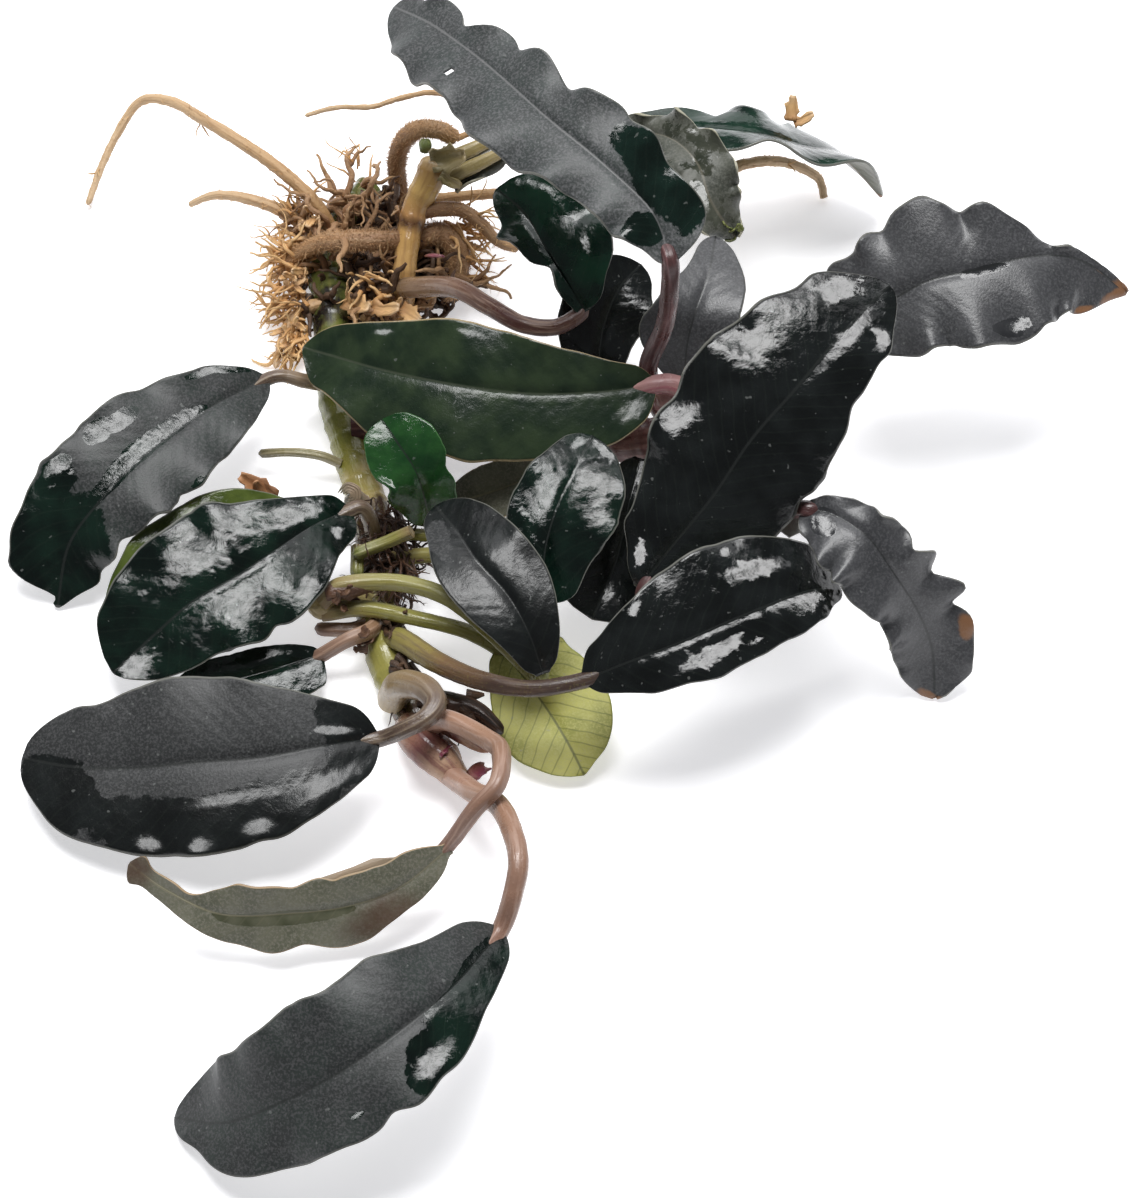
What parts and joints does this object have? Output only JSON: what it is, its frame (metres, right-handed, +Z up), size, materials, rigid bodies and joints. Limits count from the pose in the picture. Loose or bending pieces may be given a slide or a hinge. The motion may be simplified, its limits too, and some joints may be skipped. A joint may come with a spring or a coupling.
{
  "type": "bucephalandra",
  "caption": "Bare-root bucephalandra with a creeping rhizome, long bent stalks, wavy near-black leaves and a tuft of roots, lying on its flat underside.",
  "frame": {"origin": "on the flat underside of the rhizome, where the plant rests", "axes": "+Z up from the surface that the plant lies on, +Y towards the root end of the rhizome, +X to the right as the picture is seen"},
  "size_m": [0.1345, 0.1538, 0.0486],
  "materials": {
    "black_leaf": "wet gloss, fine grey grain",
    "bright_green_leaf": "wet gloss",
    "dark_rhizome": "wet, ragged",
    "deep_green_leaf": "wet gloss with white glare",
    "green_stalk": "satin",
    "grey_leaf": "satin, fine grey grain",
    "olive_leaf": "satin",
    "pale_root": "matt",
    "red_stalk": "satin, striped lengthwise",
    "rhizome_skin": "wet gloss with brown scars",
    "root_skin": "matt, hairy",
    "tan_stalk": "satin, striped lengthwise",
    "underside_leaf": "matt",
    "yellow_leaf": "satin with dark veins"
  },
  "bodies": {
    "root": {"leaf_back_right": "deep_green_leaf", "leaf_brown_gap": "underside_leaf", "leaf_centre_green": "olive_leaf", "leaf_centre_tall": "black_leaf", "leaf_crown": "black_leaf", "leaf_curled": "underside_leaf", "leaf_dark_back": "black_leaf", "leaf_dark_lower": "black_leaf", "leaf_far_right": "grey_leaf", "leaf_front": "black_leaf", "leaf_front_underside": "underside_leaf", "leaf_grey_back": "grey_leaf", "leaf_left_behind": "olive_leaf", "leaf_left_broad": "black_leaf", "leaf_left_green": "deep_green_leaf", "leaf_left_small": "deep_green_leaf", "leaf_left_upper": "black_leaf", "leaf_right_drooping": "grey_leaf", "leaf_right_low": "black_leaf", "leaf_round_glossy": "deep_green_leaf", "leaf_small_black": "black_leaf", "leaf_under_crown": "deep_green_leaf", "leaf_yellow": "yellow_leaf", "leaf_young_bright": "bright_green_leaf", "rhizome_main": "rhizome_skin", "rhizome_side_shoot": "red_stalk", "rhizome_upright_shoot": "tan_stalk", "root_arch": "root_skin", "root_back_right": "pale_root", "root_brown": "root_skin", "root_left_down": "pale_root", "root_long": "pale_root", "root_middle": "root_skin", "root_right": "root_skin", "root_second": "pale_root", "root_thin": "pale_root", "sheath_left": "tan_stalk", "stalk_centre_green": "tan_stalk", "stalk_centre_tall": "red_stalk", "stalk_crown": "red_stalk", "stalk_far_right": "red_stalk", "stalk_front": "tan_stalk", "stalk_front_underside": "tan_stalk", "stalk_grey_back": "red_stalk", "stalk_left_broad": "tan_stalk", "stalk_left_green": "green_stalk", "stalk_left_small": "tan_stalk", "stalk_left_upper": "tan_stalk", "stalk_right_drooping": "red_stalk", "stalk_right_low": "red_stalk", "stalk_round_glossy": "green_stalk", "stalk_small_black": "green_stalk", "stalk_under_crown": "tan_stalk", "stalk_yellow": "green_stalk", "stalk_young_bright": "green_stalk", "stub_decayed": "dark_rhizome", "stub_green": "green_stalk", "stub_red": "red_stalk", "stub_short": "green_stalk", "stub_yellow": "green_stalk"}
  },
  "joints": []
}
